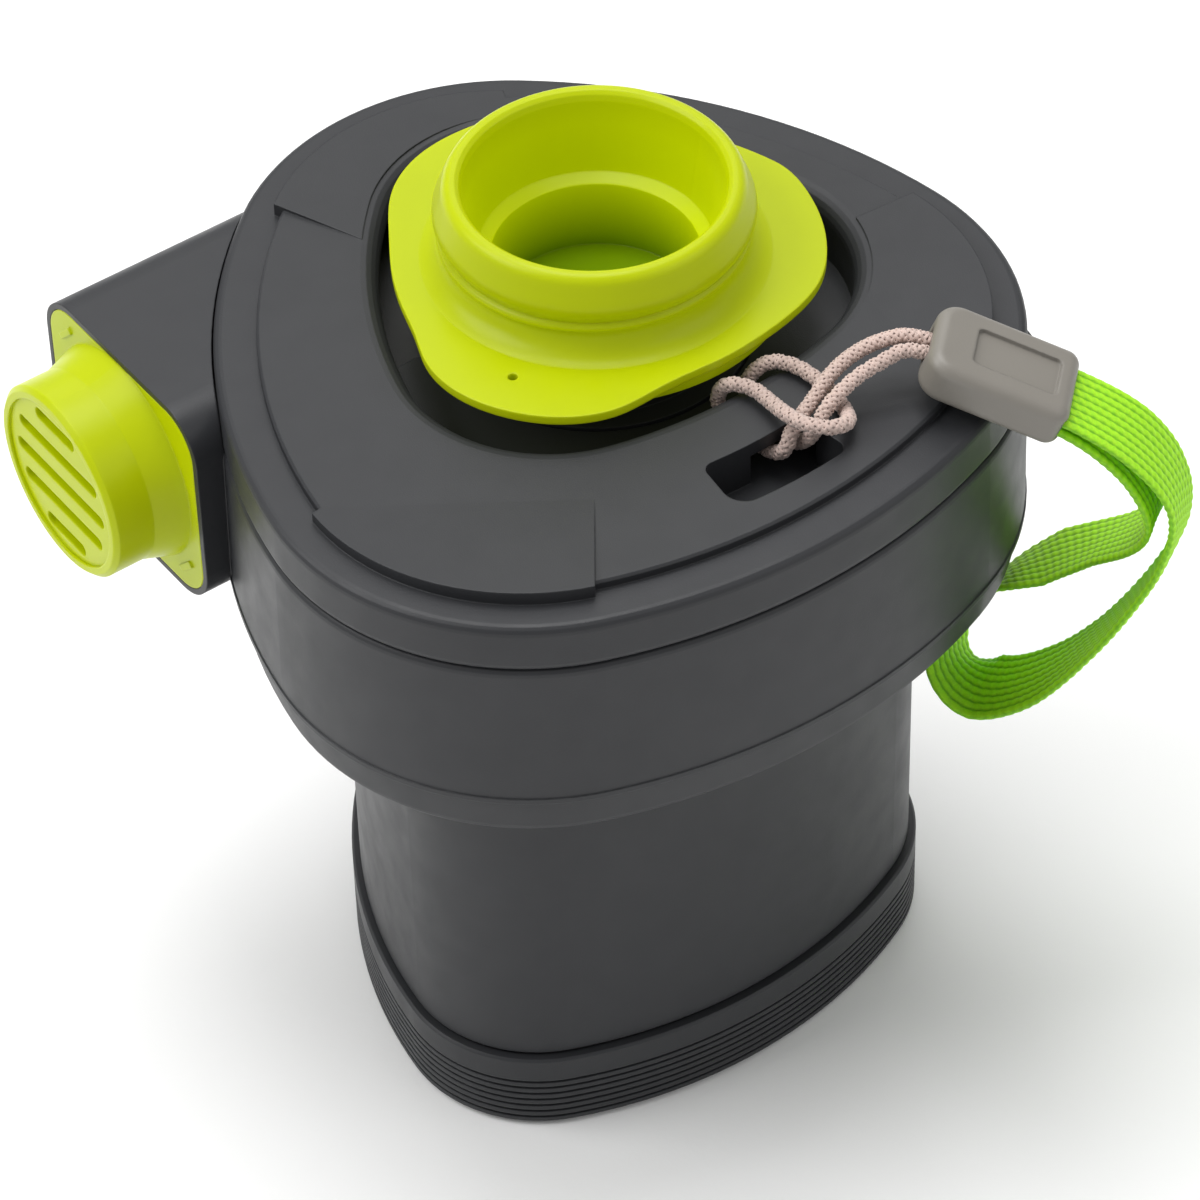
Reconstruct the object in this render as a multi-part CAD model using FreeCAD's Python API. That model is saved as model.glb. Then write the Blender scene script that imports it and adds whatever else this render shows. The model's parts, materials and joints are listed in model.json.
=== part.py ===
"""Battery-powered electric air mattress pump, as separate solids in one frame.

Millimetres, +Z up. The origin is the centre of the base's underside, on the column's axis.
The body's section is a rounded triangle with one vertex towards +Y, and the air outlet
points along -X.
"""
import FreeCAD
import Part
import math
import os

V = FreeCAD.Vector
Z_AXIS = V(0, 0, 1)

# ---- driving dimensions ------------------------------------------------------------------
# Rounded triangles: distance from the centre to a side's middle, to a vertex, and the
# radius of the vertex arc.
DRUM = (45.3, 51.7, 32.9)
COLUMN = (32.2, 39.1, 17.4)
RECESS = (26.0, 31.0, 18.0)

# Heights of the body's levels.
SKIRT_TOP = 12.3
COLUMN_FROM = 12.9
DRUM_BOTTOM = 66.5
RIDGE = 72.8
SEAM_LOW = 93.6
SEAM_HIGH = 93.7
SHOULDER = 100.1
PLATE_TOP = 101.35

WALL = 2.0
COLUMN_WALL = 1.9
FOOT_STEP = 1.0
RECESS_ROUND = 2.2
BODY_GAP = 0.1

# Impeller, motor, intake and adapter share this axis, which lies off the body's centre.
AXIS_X = 5.5
AXIS_Y = 7.0

# Lid plate: three long sectors and three short, raised ones.
LONG_INSET = 5.3
SHORT_INSET = 4.2
STEP_AFTER = 24.0
STEP_BEFORE = -21.8
STEP_RISE = 0.6
STEP_INNER_R = 30.0

# Outlet duct.
DUCT_END = -47.0
DUCT_Y = (15.4, 48.4)
DUCT_Z = (69.3, 99.0)
DUCT_CORNER = 6.0
DUCT_WALL = 1.8
OUTLET_Y = (DUCT_Y[0] + DUCT_Y[1]) / 2
OUTLET_Z = (DUCT_Z[0] + DUCT_Z[1]) / 2
SPIGOT_R = 12.7
SPIGOT_BASE_R = 14.1
SPIGOT_BORE_R = 11.2
SPIGOT_END = -56.8
SPIGOT_LAND_FROM = -51.3
GRILLE_SET_BACK = 0.4
GRILLE_PITCH = 4.3
GRILLE_SLOT = 1.9
GRILLE_R = 9.6

# Cells of D size, in a bundle of three.
CELL_R = 16.8
CELL_SPREAD = 19.5
CELL_BOTTOM = 5.0
CELL_BODY = 59.9
CELL_NUB = 1.6

# Adapter for wide mattress valves.
ADAPTER_TOP = 116.5
ADAPTER_BORE_R = 12.6
ADAPTER_MOUTH_R = 15.7
ADAPTER_NECK_R = 18.3
ADAPTER_BULGE_R = 19.3
ADAPTER_FLOOR = 1.2
ADAPTER_FLOOR_R = 5.5
FLANGE_TOP = 105.3
FLANGE_EDGE = [
    (0, 26.9), (15, 25.3), (30, 24.5), (45, 24.5), (60, 25.6), (75, 27.3), (90, 28.0), (105, 28.1),
    (120, 27.0), (135, 25.1), (150, 24.5), (165, 24.7), (178, 25.7), (188, 27.7), (200, 29.3),
    (215, 29.8), (230, 29.2), (240, 27.8), (249, 25.8), (259, 24.6), (272, 24.5), (285, 24.9),
    (298, 26.0), (310, 27.2), (325, 27.6), (345, 27.5)]
UNDER_R = 23.9
THREAD_PITCH = 2.4
THREAD_TURNS = 1.05
THREAD_R = 0.65
PLUG_R = 14.3
PLUG_BOTTOM = 94.2

# Fan.
IMPELLER_R = 25.5
BLADES = 9
BLADE_TOP = 89.8
MOTOR_R = 16.0

# Switch: its direction from the drum's vertex arc, its height, and sizes (across, upright).
SWITCH_AT = 350.0
SWITCH_Z = 83.2
SWITCH_CUT = (13.4, 9.0)
SWITCH_BEZEL = (15.8, 11.4)
SWITCH_CASE = (13.0, 8.6)
ROCKER = (11.6, 7.2)
ROCKER_TILT = 8.0
ROCKER_GAP = 0.35

# Strap slot in the lid: the hub and radii of its bowed edges, its half angle, and the
# tunnel that leads from it under the bridge into the recess.
SLOT_HUB = V(2.6, 32.2, 0)
SLOT_NEAR_R = 60.0
SLOT_FAR_R = 68.0
SLOT_HALF_ANGLE = 6.9
SLOT_CORNER = 1.4
WIDE_CORNER = (-4.0, -33.0)
TUNNEL_X = (2.2, 12.4)
TUNNEL_Z = (95.1, 99.4)
TUNNEL_WALL = 1.5

# Wrist strap.
CORD_D = 2.0
WEB_WIDTH = 10.3
WEB_THICK = 1.2
CLIP_INNER = V(25.1, -31.8, 107.1)
CLIP_OUTER = V(36.5, -44.1, 100.7)
CLIP_WIDTH = 12.0
CLIP_THICK = 5.8
MOUTH_DEPTH = 4.0
HOLE_DEPTH = 3.0
PANEL_DEPTH = 0.5
LAYER_GAP = 1.5
STRAND_GAP = 2.2


# ---- helpers -----------------------------------------------------------------------------
def polar(radius, degrees, z=0.0, centre=(0.0, 0.0)):
    """Point at a plan radius and angle about a centre."""
    a = math.radians(degrees)
    return V(centre[0] + radius * math.cos(a), centre[1] + radius * math.sin(a), z)


def arc(p, q, r):
    return Part.Arc(p, q, r).toShape()


def outline(spec, z, grow=0.0, centre=(0.0, 0.0)):
    """Wire of a rounded triangle: three vertex arcs and three bowed sides, all tangent."""
    side, vertex, corner = spec
    reach = vertex - corner
    bow = vertex - side
    back = bow * (2 * reach - bow) / (reach - 2 * bow)
    side_r = side + back + grow
    corner_r = corner + grow
    half = math.degrees(math.atan2(back * math.sin(math.pi / 3), reach + back * math.cos(math.pi / 3)))
    edges = []
    for k in range(3):
        aim = 90 + 120 * k
        hub = polar(reach, aim, z, centre)
        tips = [hub + polar(corner_r, aim + turn) for turn in (-half, 0, half)]
        edges.append(arc(*tips))
        far = polar(-back, aim + 60, z, centre)
        nxt = polar(reach, aim + 120, z, centre) + polar(corner_r, aim + 120 - half)
        edges.append(arc(tips[2], far + polar(side_r, aim + 60), nxt))
    return Part.Wire(edges)


def prism(spec, low, high, grow=0.0, centre=(0.0, 0.0)):
    """Upright solid with a rounded-triangle section."""
    return Part.Face(outline(spec, low, grow, centre)).extrude(V(0, 0, high - low))


def taper(spec, low, grow_low, high, grow_high, centre=(0.0, 0.0)):
    """Solid whose rounded-triangle section grows or shrinks with height."""
    wires = [outline(spec, low, grow_low, centre), outline(spec, high, grow_high, centre)]
    return Part.makeLoft(wires, True, True)


def eased(spec, low, grow_low, high, grow_high, flat_end="top", steps=5, centre=(0.0, 0.0)):
    """Quarter-round edge: upright at one end and level at its flat end, in short tapers."""
    stops = []
    for k in range(steps + 1):
        t = math.radians(90 * k / steps)
        if flat_end == "top":
            rise, spread = math.sin(t), 1 - math.cos(t)
        else:
            rise, spread = 1 - math.cos(t), math.sin(t)
        stops.append((low + (high - low) * rise, grow_low + (grow_high - grow_low) * spread))
    parts = [taper(spec, *a, *b, centre) for a, b in zip(stops, stops[1:])]
    return joined(parts)


def rod(radius, low, high, x=AXIS_X, y=AXIS_Y):
    return Part.makeCylinder(radius, high - low, V(x, y, low), Z_AXIS)


def ring(outer, inner, low, high, x=AXIS_X, y=AXIS_Y):
    return rod(outer, low, high, x, y).cut(rod(inner, low - 1, high + 1, x, y))


def box(x, y, z):
    """Box between two values on each axis."""
    return Part.makeBox(x[1] - x[0], y[1] - y[0], z[1] - z[0], V(x[0], y[0], z[0]))


def rounded_bar(x, y, z, radius):
    """Box along X whose four long edges are rounded."""
    bar = box(x, y, z)
    long_edges = [e for e in bar.Edges if abs(e.tangentAt(0).x) > 0.9]
    return bar.makeFillet(radius, long_edges)


def revolve(points, x=AXIS_X, y=AXIS_Y):
    """Solid of revolution from (radius, height) points about a vertical axis."""
    corners = [V(x + r, y, z) for r, z in points]
    face = Part.Face(Part.makePolygon(corners + corners[:1]))
    return face.revolve(V(x, y, 0), Z_AXIS, 360)


def joined(shapes):
    whole = shapes[0].multiFuse(shapes[1:]) if len(shapes) > 1 else shapes[0]
    return whole.removeSplitter()


def round_route(points, shrink=0.45):
    """Straight runs joined by tangent arcs. Gives the edges and each arc's radius."""
    edges = []
    radii = []
    last = points[0]
    for before, here, after in zip(points, points[1:], points[2:]):
        come = (here - before).normalize()
        go = (after - here).normalize()
        turn = come.getAngle(go)
        cut = shrink * min((here - before).Length, (after - here).Length)
        radius = cut / math.tan(turn / 2)
        start = here - come * cut
        end = here + go * cut
        inward = (go - come).normalize()
        middle = here + inward * (radius / math.cos(turn / 2) - radius)
        edges.append(Part.LineSegment(last, start).toShape())
        edges.append(Part.Arc(start, middle, end).toShape())
        radii.append(radius)
        last = end
    edges.append(Part.LineSegment(last, points[-1]).toShape())
    return edges, radii


def tube(name, points, diameter):
    """Round cord along a rounded route. Prints its radii and compares its volume."""
    edges, radii = round_route(points)
    path = Part.Wire(edges)
    start = Part.Circle(points[0], points[1] - points[0], diameter / 2).toShape()
    solid = path.makePipeShell([Part.Wire(start)], True, False)
    expected = math.pi * diameter ** 2 / 4 * path.Length
    print(name, "length %.1f" % path.Length, "radii", ["%.1f" % r for r in radii],
          "volume ratio %.3f" % (solid.Volume / expected))
    return solid


def placed(shape, x, y, z, turn=0.0, pitch=0.0):
    """Shape moved from the origin: pitched about Y, then turned about Z."""
    out = shape.copy()
    out.rotate(V(0, 0, 0), V(0, 1, 0), pitch)
    out.rotate(V(0, 0, 0), Z_AXIS, turn)
    out.translate(V(x, y, z))
    return out


# ---- body --------------------------------------------------------------------------------
def duct_outside(grow=0.0):
    return rounded_bar((DUCT_END, -4.0), (DUCT_Y[0] - grow, DUCT_Y[1] + grow),
                       (DUCT_Z[0] - grow, DUCT_Z[1] + grow), DUCT_CORNER + grow)


def drum_housing():
    """Drum wall with its ridge and lower band, the annular floor, and the outlet duct."""
    outside = joined([
        taper(DRUM, DRUM_BOTTOM + 1.2, -0.35, RIDGE - 0.4, 0.1),
        eased(DRUM, DRUM_BOTTOM, -1.6, DRUM_BOTTOM + 1.2, -0.35, "bottom", 4),
        prism(DRUM, RIDGE - 0.4, RIDGE + 0.4, 0.75),
        taper(DRUM, RIDGE + 0.4, 0.6, SEAM_LOW - 0.9, 0.25),
        eased(DRUM, SEAM_LOW - 0.9, 0.25, SEAM_LOW, -0.45, "top", 3)])
    duct = duct_outside().cut(prism(DRUM, SEAM_LOW, SHOULDER + 5, 2 * BODY_GAP))
    body = outside.fuse(duct)
    body = body.cut(prism(DRUM, DRUM_BOTTOM + WALL, SEAM_LOW + 1, -WALL))
    passage = rounded_bar((DUCT_END - 1, -6.0), (DUCT_Y[0] + DUCT_WALL, DUCT_Y[1] - DUCT_WALL),
                          (DUCT_Z[0] + DUCT_WALL, DUCT_Z[1] - DUCT_WALL), DUCT_CORNER - DUCT_WALL)
    stop = prism(DRUM, SEAM_LOW - 1.4, SHOULDER + 5, 0.3 + DUCT_WALL)
    body = body.cut(passage.cut(stop))
    rebate = rounded_bar((DUCT_END - 1, DUCT_END + 3.0), (DUCT_Y[0] + 0.8, DUCT_Y[1] - 0.8),
                         (DUCT_Z[0] + 0.8, DUCT_Z[1] - 0.8), DUCT_CORNER - 0.8)
    body = body.cut(rebate)
    body = body.cut(prism(COLUMN, DRUM_BOTTOM - 1, DRUM_BOTTOM + WALL + 1))
    body = body.cut(switch_block(SWITCH_CUT, -20.0, 10.0))
    for spot in screw_spots():
        post = rod(3.2, DRUM_BOTTOM + 1, SEAM_LOW - 1.6, spot.x, spot.y)
        body = body.fuse(post)
        body = body.cut(rod(1.7, DRUM_BOTTOM - 1, SEAM_LOW, spot.x, spot.y))
        body = body.cut(rod(2.9, DRUM_BOTTOM - 1, DRUM_BOTTOM + 2.6, spot.x, spot.y))
    return body.removeSplitter()


def column_shell():
    """Battery tube, with a thinner neck that the base cap slips over."""
    outside = prism(COLUMN, COLUMN_FROM, DRUM_BOTTOM + WALL)
    neck = prism(COLUMN, 4.0, COLUMN_FROM, -0.6)
    return outside.fuse(neck).cut(prism(COLUMN, 0, DRUM_BOTTOM + 10, -COLUMN_WALL))


def base_cap():
    """Cap that closes the battery tube, with fine grip ribs round its skirt."""
    cap = joined([
        taper(COLUMN, 0.0, 0.1, 0.9, FOOT_STEP),
        prism(COLUMN, 0.9, SKIRT_TOP - 0.3, FOOT_STEP),
        taper(COLUMN, SKIRT_TOP - 0.3, FOOT_STEP, SKIRT_TOP, FOOT_STEP - 0.3)])
    for k in range(7):
        low = 1.5 + 1.1 * k
        groove = prism(COLUMN, low, low + 0.45, FOOT_STEP + 1).cut(
            prism(COLUMN, low - 1, low + 1, FOOT_STEP - 0.35))
        cap = cap.cut(groove)
    return cap.cut(prism(COLUMN, 2.2, SKIRT_TOP + 1, -0.4))


def sector_prism(first, last, low, high, reach=70.0):
    """Wedge-shaped column between two plan angles."""
    middle = (first + last) / 2
    corners = [V(0, 0, low), polar(reach, first, low), polar(reach * 1.3, middle, low),
               polar(reach, last, low), V(0, 0, low)]
    return Part.Face(Part.makePolygon(corners)).extrude(V(0, 0, high - low))


def raised_sector(vertex_angle):
    """Short lid sector: level with the plate at one seam and a step above it at the other."""
    first = vertex_angle + STEP_BEFORE
    last = vertex_angle + STEP_AFTER
    low = SHOULDER - 1.0
    high = PLATE_TOP + 4.0
    block = prism(DRUM, low, high, -SHORT_INSET).common(sector_prism(first, last, low, high))
    level = [polar(44.0, first, PLATE_TOP), polar(STEP_INNER_R, last, PLATE_TOP)]
    top = polar(46.0, last, PLATE_TOP + STEP_RISE)
    normal = (level[1] - level[0]).cross(top - level[0]).normalize()
    if normal.z < 0:
        normal = normal * -1
    lid_off = Part.makeBox(240, 240, 20, V(-120, -120, 0))
    lid_off.Placement = FreeCAD.Placement(V(0, 0, 0), FreeCAD.Rotation(Z_AXIS, normal)).multiply(
        lid_off.Placement)
    lid_off.translate(level[0])
    return block.cut(lid_off)


def lid():
    """Lid with its rim, swirl plate, central well, and strap slot."""
    intake = (AXIS_X, AXIS_Y)
    skirt = joined([
        eased(DRUM, SEAM_HIGH, -0.45, SEAM_HIGH + 0.9, 0.1, "bottom", 3),
        taper(DRUM, SEAM_HIGH + 0.9, 0.1, SHOULDER - 1.1, 0.0),
        eased(DRUM, SHOULDER - 1.1, 0.0, SHOULDER, -1.1, "top", 4)])
    plate = taper(DRUM, SHOULDER - 1, -LONG_INSET, PLATE_TOP - 0.3, -LONG_INSET)
    plate = plate.fuse(taper(DRUM, PLATE_TOP - 0.3, -LONG_INSET, PLATE_TOP, -LONG_INSET - 0.3))
    cover = skirt.fuse(plate)
    for vertex_angle in (90, 210, 330):
        cover = cover.fuse(raised_sector(vertex_angle))
    cover = cover.cut(prism(DRUM, SEAM_HIGH - 1, SHOULDER - WALL, -WALL))
    locating_lip = prism(DRUM, SEAM_LOW - 1.5, SHOULDER - 1, -WALL - 0.15).cut(
        prism(DRUM, SEAM_LOW - 2, SHOULDER, -WALL - 1.5))
    cover = cover.fuse(locating_lip)
    cover = cover.fuse(prism(RECESS, 92.0, SHOULDER, 1.8, intake))
    cover = cover.cut(prism(RECESS, 93.6, PLATE_TOP + 5, 0.0, intake))
    edge = eased(RECESS, PLATE_TOP - RECESS_ROUND, 0.0, PLATE_TOP, RECESS_ROUND, "top", 5, intake)
    cover = cover.cut(edge)
    cover = cover.cut(prism(RECESS, PLATE_TOP, PLATE_TOP + 5, RECESS_ROUND, intake))
    cover = cover.cut(rod(19.2, 90, 95))
    cover = cover.fuse(strap_pocket(TUNNEL_WALL)).cut(strap_pocket(0.0))
    for spot in screw_spots():
        cover = cover.fuse(rod(2.9, SEAM_LOW - 1.5, SHOULDER - 1, spot.x, spot.y))
        cover = cover.cut(rod(1.2, SEAM_LOW - 2, SHOULDER - 2.5, spot.x, spot.y))
    cover = cover.cut(duct_outside(BODY_GAP))
    return cover.cut(slot_block(TUNNEL_Z[0], PLATE_TOP + 5)).removeSplitter()


def slot_block(low, high, grow=0.0):
    """Strap slot: an upright block whose plan is a slightly bowed rectangle."""
    spread = SLOT_HALF_ANGLE + math.degrees(grow / SLOT_FAR_R)
    span = [270 - spread, 270, 270 + spread]
    hub = SLOT_HUB + V(0, 0, low)
    outer = [hub + polar(SLOT_FAR_R + grow, a) for a in span]
    inner = [hub + polar(SLOT_NEAR_R - grow, a) for a in span]
    edges = [arc(*outer), Part.LineSegment(outer[2], inner[2]).toShape(),
             arc(inner[2], inner[1], inner[0]), Part.LineSegment(inner[0], outer[0]).toShape()]
    solid = Part.Face(Part.Wire(edges)).extrude(V(0, 0, high - low))
    upright = [e for e in solid.Edges if abs(e.tangentAt(e.FirstParameter).z) > 0.9]
    solid = solid.makeFillet(SLOT_CORNER, [e for e in upright if not at_wide_corner(e)])
    upright = [e for e in solid.Edges if abs(e.tangentAt(e.FirstParameter).z) > 0.9]
    return solid.makeFillet(2 * SLOT_CORNER, [e for e in upright if at_wide_corner(e)])


def at_wide_corner(edge):
    """Whether an upright edge stands at the slot's one widely rounded corner."""
    spot = edge.BoundBox
    return spot.XMin < WIDE_CORNER[0] and spot.YMin < WIDE_CORNER[1]


def strap_pocket(grow):
    """Pocket below the slot, and the tunnel from it under the bridge to the recess."""
    low = TUNNEL_Z[0] - grow
    high = TUNNEL_Z[1]
    recess_side = -19.5 if grow else -18.0
    tunnel = box((TUNNEL_X[0] - grow, TUNNEL_X[1] + grow), (-30.0, recess_side), (low, high))
    return slot_block(low, high, grow).fuse(tunnel)


def screw_spots():
    """Plan positions of the three lid screws, one in each vertex of the drum."""
    return [polar(44.2, 90 - 8), polar(44.2, 210), polar(44.2, 330 - 10)]


def lid_screws():
    heads = []
    for spot in screw_spots():
        heads.append(rod(2.7, DRUM_BOTTOM + 0.7, DRUM_BOTTOM + 2.6, spot.x, spot.y)
                     .cut(box((spot.x - 1.8, spot.x + 1.8), (spot.y - 0.35, spot.y + 0.35),
                              (DRUM_BOTTOM, DRUM_BOTTOM + 1.6)))
                     .cut(box((spot.x - 0.35, spot.x + 0.35), (spot.y - 1.8, spot.y + 1.8),
                              (DRUM_BOTTOM, DRUM_BOTTOM + 1.6)))
                     .fuse(rod(1.2, DRUM_BOTTOM + 2.6, SHOULDER - 3.0, spot.x, spot.y)))
    return Part.makeCompound(heads)


# ---- battery -----------------------------------------------------------------------------
def cell(k):
    """One D-size cell, with its raised terminal up."""
    spot = polar(CELL_SPREAD, 90 + 120 * k)
    can = rod(CELL_R, CELL_BOTTOM, CELL_BOTTOM + CELL_BODY, spot.x, spot.y)
    rims = [e for e in can.Edges if e.Length > CELL_R * 6]
    can = can.makeFillet(0.8, rims)
    nub_top = CELL_BOTTOM + CELL_BODY + CELL_NUB
    return can.fuse(rod(4.6, CELL_BOTTOM + CELL_BODY - 0.5, nub_top, spot.x, spot.y))


def base_contact():
    """Sprung metal plate in the base cap: a pressed arm under each cell."""
    parts = [rod(9.0, 2.2, 2.7, 0, 0)]
    for k in range(3):
        spot = polar(CELL_SPREAD, 90 + 120 * k)
        arm = placed(Part.makeBox(19.5, 7.0, 0.5, V(0, -3.5, 0)), 0, 0, 2.2, 90 + 120 * k)
        button = Part.makeCone(5.0, 2.6, CELL_BOTTOM - 2.2, V(spot.x, spot.y, 2.2), Z_AXIS)
        parts += [arm, button]
    return joined(parts)


def contact_board():
    """Insulating board across the top of the battery tube."""
    board = prism(COLUMN, 67.3, 68.8, -COLUMN_WALL - 0.2)
    for k in range(3):
        spot = polar(CELL_SPREAD, 90 + 120 * k)
        board = board.cut(rod(1.3, 66, 70, spot.x, spot.y))
    return board


def cell_contacts():
    """Riveted contact discs under the board, one over each cell."""
    parts = []
    for k in range(3):
        spot = polar(CELL_SPREAD, 90 + 120 * k)
        disc = rod(5.5, 66.5, 67.3, spot.x, spot.y)
        rivet = rod(1.3, 67.0, 69.4, spot.x, spot.y)
        parts.append(disc.fuse(rivet))
    return Part.makeCompound(parts)


# ---- fan ---------------------------------------------------------------------------------
def motor_mount():
    """Plate over the battery tube that clamps the motor and floors the scroll."""
    plate = prism(DRUM, 70.8, 72.6, -WALL - 0.4)
    plate = plate.fuse(ring(MOTOR_R + 1.9, MOTOR_R + 0.1, 70.8, 76.0))
    plate = plate.cut(rod(MOTOR_R + 0.1, 69, 78))
    for spot in screw_spots():
        plate = plate.cut(rod(3.5, 70, 74, spot.x, spot.y))
    for k in range(3):
        foot = polar(39.0, 30 + 120 * k)
        plate = plate.fuse(rod(2.4, DRUM_BOTTOM + WALL, 71.5, foot.x, foot.y))
    plate = plate.cut(duct_mouth())
    corner = polar(46.0, 350)
    return plate.cut(box((corner.x - 9, corner.x + 6), (corner.y - 7, corner.y + 7), (70, 74)))


def duct_mouth():
    """Space of the duct's passage where it enters the drum."""
    return box((DUCT_END, -30.0), (DUCT_Y[0] + DUCT_WALL, DUCT_Y[1]), (60.0, 95.0))


def motor():
    """Flat can motor with a bearing boss at each end and two terminals below."""
    can = rod(MOTOR_R, 69.6, 84.0)
    rims = [e for e in can.Edges if e.Length > MOTOR_R * 6]
    can = can.makeFillet(1.0, rims)
    can = can.fuse(rod(4.0, 83.5, 85.2))
    for turn in (20, 200):
        tab = polar(10.5, turn, 0, (AXIS_X, AXIS_Y))
        can = can.fuse(box((tab.x - 1.2, tab.x + 1.2), (tab.y - 0.3, tab.y + 0.3), (69.0, 69.9)))
    return can.cut(rod(1.05, 80.0, 90.0))


def motor_shaft():
    return rod(1.0, 80.5, 89.4)


def impeller():
    """Backward-curved centrifugal impeller whose cup hub covers the motor."""
    hub = revolve([(1.0, 85.6), (6.0, 85.6), (16.9, 84.6), (16.9, 77.2), (IMPELLER_R, 77.2),
                   (IMPELLER_R, 78.4), (18.1, 78.4), (18.1, 85.2), (6.0, 86.9), (3.4, 88.0),
                   (3.4, 89.4), (1.0, 89.4)])
    blade_parts = []
    for k in range(BLADES):
        turn = 360.0 * k / BLADES
        face_points = []
        back_points = []
        for radius, lag in ((9.5, 0.0), (17.0, -14.0), (IMPELLER_R - 0.1, -36.0)):
            face_points.append(polar(radius, turn + lag, 78.0, (AXIS_X, AXIS_Y)))
            back_points.append(polar(radius, turn + lag + 70.0 / radius, 78.0, (AXIS_X, AXIS_Y)))
        edges = [arc(*face_points), Part.LineSegment(face_points[2], back_points[2]).toShape(),
                 arc(*reversed(back_points)), Part.LineSegment(back_points[0], face_points[0]).toShape()]
        blade_parts.append(Part.Face(Part.Wire(edges)).extrude(V(0, 0, BLADE_TOP - 78.0)))
    eye = revolve([(0, 95), (0, 87.5), (10.0, 87.5), (17.0, BLADE_TOP - 0.6), (17.0, 95)])
    hollow = rod(16.9, 70.0, 84.6)
    core = hub.multiFuse(blade_parts)
    return core.cut(hollow).cut(eye.cut(rod(3.4, 80, 96))).cut(rod(1.0, 70, 96))


def volute():
    """Scroll wall that widens round the impeller, and the tongue at the duct."""
    low, high = 72.6, 90.4
    centre = (AXIS_X, AXIS_Y)
    first, last, steps = 150.0, 362.0, 4
    grow = 8.2 / (last - first)
    inner = []
    outer = []
    for k in range(2 * steps + 1):
        angle = first + (last - first) * k / (2 * steps)
        radius = 27.2 + grow * (angle - first)
        inner.append(polar(radius, angle, low, centre))
        outer.append(polar(radius + 1.4, angle, low, centre))
    edges = [arc(*inner[k:k + 3]) for k in range(0, 2 * steps, 2)]
    edges.append(Part.LineSegment(inner[-1], outer[-1]).toShape())
    edges += [arc(outer[k + 2], outer[k + 1], outer[k]) for k in range(2 * steps - 2, -1, -2)]
    edges.append(Part.LineSegment(outer[0], inner[0]).toShape())
    wall = Part.Face(Part.Wire(edges)).extrude(V(0, 0, high - low))
    tongue = box((-37.5, -18.4), (DUCT_Y[0] + 0.1, DUCT_Y[0] + DUCT_WALL), (low, high))
    nose = rod(1.5, low, high, inner[0].x - 0.3, inner[0].y - 0.6)
    link = box((inner[0].x - 1.2, inner[0].x + 0.6), (DUCT_Y[0] + 0.5, inner[0].y), (low, high))
    scroll = joined([wall, tongue, nose, link])
    return scroll.cut(rod(IMPELLER_R + 1.2, low - 1, high + 1))


def scroll_cover():
    """Cover over the scroll, with the impeller's eye in it."""
    cover = prism(DRUM, 90.4, 91.6, -WALL - 0.4).cut(rod(16.0, 88, 95))
    for spot in screw_spots():
        cover = cover.cut(rod(3.6, 88, 95, spot.x, spot.y))
    return cover


def intake_guard():
    """Socket ring for the adapter, with a finger guard of spokes across the eye."""
    parts = [ring(19.0, 16.2, 91.6, 94.0), ring(16.4, 14.5, 91.6, 99.0), rod(4.0, 91.6, 93.2)]
    for k in range(6):
        spoke = Part.makeBox(13.0, 1.4, 1.6, V(2.5, -0.7, 0))
        parts.append(placed(spoke, AXIS_X, AXIS_Y, 91.6, 60 * k))
    parts.append(ring(9.6, 8.4, 91.6, 93.2))
    return joined(parts)


# ---- outlet ------------------------------------------------------------------------------
def along_x(radius, start, end, y=OUTLET_Y, z=OUTLET_Z):
    return Part.makeCylinder(radius, end - start, V(start, y, z), V(1, 0, 0))


def outlet_spigot():
    """End plate of the duct and the short nozzle that a mattress valve takes."""
    plate = rounded_bar((DUCT_END, DUCT_END + 2.6), (DUCT_Y[0] + 0.9, DUCT_Y[1] - 0.9),
                        (DUCT_Z[0] + 0.9, DUCT_Z[1] - 0.9), DUCT_CORNER - 0.9)
    land = along_x(SPIGOT_R, SPIGOT_END + 0.6, SPIGOT_LAND_FROM + 0.1)
    tip = Part.makeCone(SPIGOT_R - 0.6, SPIGOT_R, 0.6, V(SPIGOT_END, OUTLET_Y, OUTLET_Z), V(1, 0, 0))
    root = Part.makeCone(SPIGOT_R, SPIGOT_BASE_R, DUCT_END - SPIGOT_LAND_FROM,
                         V(SPIGOT_LAND_FROM, OUTLET_Y, OUTLET_Z), V(1, 0, 0))
    parts = [plate, land, tip, root]
    for side in (-1, 1):
        tick = placed(Part.makeBox(0.5, 3.4, 0.9, V(-0.25, -1.7, -0.45)), 0, 0, 0)
        tick.rotate(V(0, 0, 0), V(1, 0, 0), -45)
        tick.translate(V(DUCT_END, OUTLET_Y + side * 11.9, OUTLET_Z + side * 10.4))
        parts.append(tick)
    body = joined(parts)
    return body.cut(along_x(SPIGOT_BORE_R, SPIGOT_END - 1, DUCT_END + 5))


def outlet_grille():
    """Louvred disc that closes the nozzle's end, with five level slots."""
    disc = along_x(SPIGOT_BORE_R, SPIGOT_END + GRILLE_SET_BACK, SPIGOT_END + GRILLE_SET_BACK + 2.0)
    for k in range(-2, 3):
        drop = GRILLE_PITCH * k
        reach = math.sqrt(GRILLE_R ** 2 - drop ** 2)
        mid = OUTLET_Z + drop
        gap = rounded_bar((SPIGOT_END, SPIGOT_END + 5), (OUTLET_Y - reach, OUTLET_Y + reach),
                          (mid - GRILLE_SLOT / 2, mid + GRILLE_SLOT / 2), 0.48 * GRILLE_SLOT)
        disc = disc.cut(gap)
    return disc


# ---- adapter -----------------------------------------------------------------------------
def flange_outline(z):
    """Closed curve with three broad lobes, one over each vertex of the recess."""
    points = [polar(radius, angle, z, (AXIS_X, AXIS_Y)) for angle, radius in FLANGE_EDGE]
    curve = Part.BSplineCurve()
    curve.interpolate(points, True)
    return Part.Wire(curve.toShape())


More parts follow.
